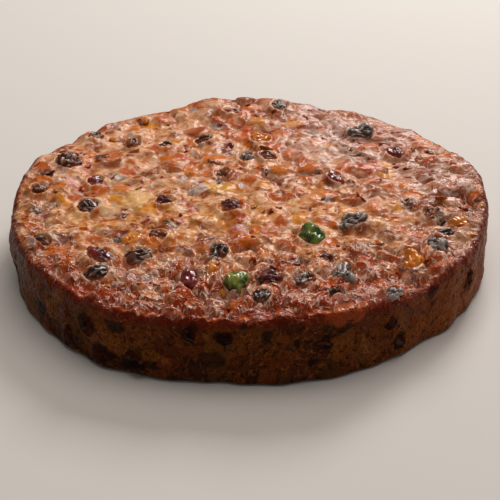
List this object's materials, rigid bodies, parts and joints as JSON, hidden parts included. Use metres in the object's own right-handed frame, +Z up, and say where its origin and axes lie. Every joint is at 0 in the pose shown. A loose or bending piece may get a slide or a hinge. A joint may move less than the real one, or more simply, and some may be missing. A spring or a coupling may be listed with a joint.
{
  "type": "round fruitcake",
  "caption": "Round baked fruitcake, low and wide, with an uneven glossy crust and raisins, glace cherries and apricot pieces set in its top and side.",
  "frame": {"origin": "middle of the flat foot, on the surface the cake stands on", "axes": "+Z up through the cake; -Y towards the side that the picture shows at the front, +X to its right"},
  "size_m": [0.2543, 0.2548, 0.0416],
  "materials": {
    "crust": "glossy thin baked skin over chopped fruit, brick brown on top and dark brown at the side",
    "raisin": "wrinkled, near black, wet gloss",
    "green_cherry": "glace, glossy and slightly clear",
    "red_cherry": "glace, glossy and slightly clear",
    "apricot": "candied, glossy and slightly clear"
  },
  "bodies": {
    "root": {"cake": "crust", "raisin_01": "raisin", "raisin_02": "raisin", "raisin_03": "raisin", "raisin_04": "raisin", "raisin_05": "raisin", "raisin_06": "raisin", "raisin_07": "raisin", "raisin_08": "raisin", "raisin_09": "raisin", "raisin_10": "raisin", "raisin_11": "raisin", "raisin_12": "raisin", "raisin_13": "raisin", "raisin_14": "raisin", "raisin_15": "raisin", "raisin_16": "raisin", "raisin_17": "raisin", "raisin_18": "raisin", "raisin_19": "raisin", "raisin_20": "raisin", "raisin_21": "raisin", "raisin_22": "raisin", "raisin_23": "raisin", "raisin_24": "raisin", "raisin_25": "raisin", "raisin_26": "raisin", "raisin_27": "raisin", "raisin_28": "raisin", "raisin_29": "raisin", "raisin_30": "raisin", "raisin_31": "raisin", "raisin_32": "raisin", "raisin_33": "raisin", "raisin_34": "raisin", "raisin_35": "raisin", "raisin_36": "raisin", "raisin_37": "raisin", "raisin_38": "raisin", "raisin_39": "raisin", "raisin_40": "raisin", "raisin_41": "raisin", "raisin_42": "raisin", "raisin_43": "raisin", "raisin_44": "raisin", "raisin_45": "raisin", "raisin_46": "raisin", "raisin_47": "raisin", "green_cherry_01": "green_cherry", "green_cherry_02": "green_cherry", "red_cherry_01": "red_cherry", "red_cherry_02": "red_cherry", "red_cherry_03": "red_cherry", "red_cherry_04": "red_cherry", "red_cherry_05": "red_cherry", "apricot_01": "apricot", "apricot_02": "apricot", "apricot_03": "apricot", "apricot_04": "apricot", "apricot_05": "apricot"}
  },
  "joints": []
}
